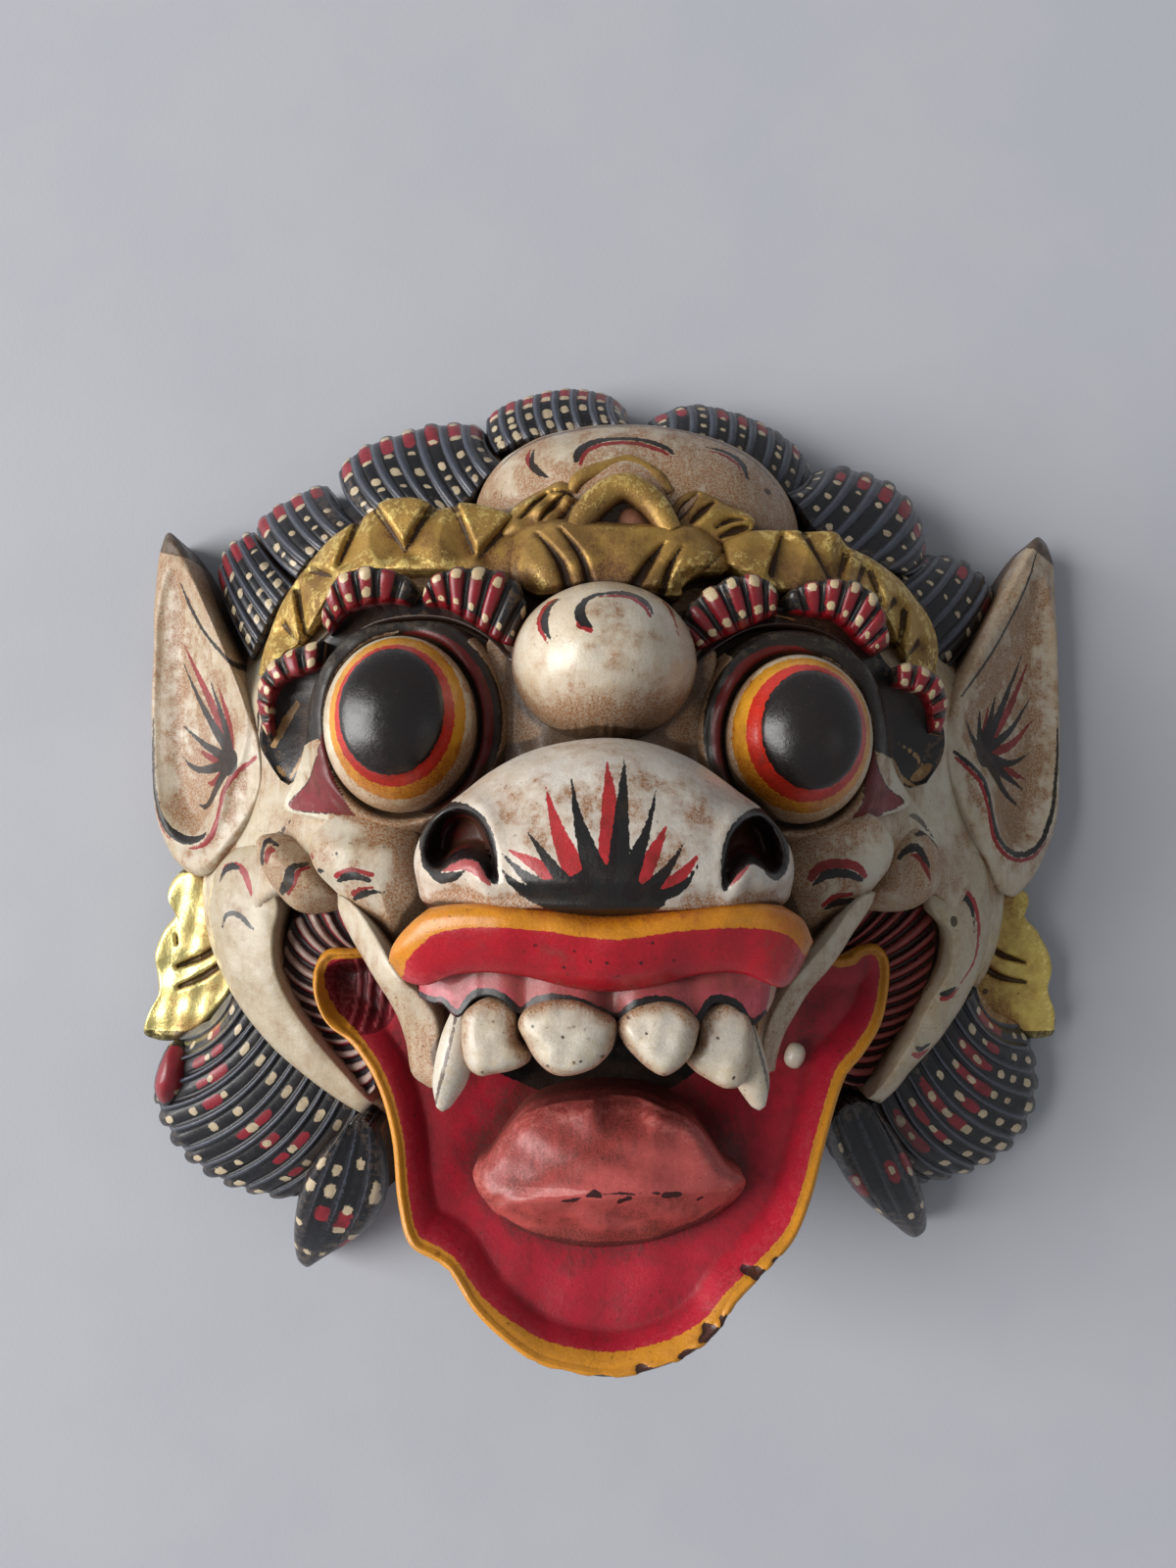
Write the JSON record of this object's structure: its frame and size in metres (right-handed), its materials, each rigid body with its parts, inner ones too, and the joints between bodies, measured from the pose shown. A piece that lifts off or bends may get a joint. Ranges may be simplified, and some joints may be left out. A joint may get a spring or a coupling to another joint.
{
  "type": "carved wooden barong mask",
  "caption": "Carved and painted lion-spirit mask with bulging eyes, open fanged jaw, gilt crown, pointed ears and ridged hair, hollow behind.",
  "frame": {"origin": "on the flat back plane, under the centre of the mask's outline, with the mask lying on its back", "axes": "+X to the right of someone who faces the mask, +Y to the top of the head, +Z out of the face"},
  "size_m": [0.2132, 0.2039, 0.1039],
  "materials": {
    "painted_wood": "painted, semi-gloss, aged with brown wax"
  },
  "bodies": {
    "root": {"mask": "painted_wood"}
  },
  "joints": []
}
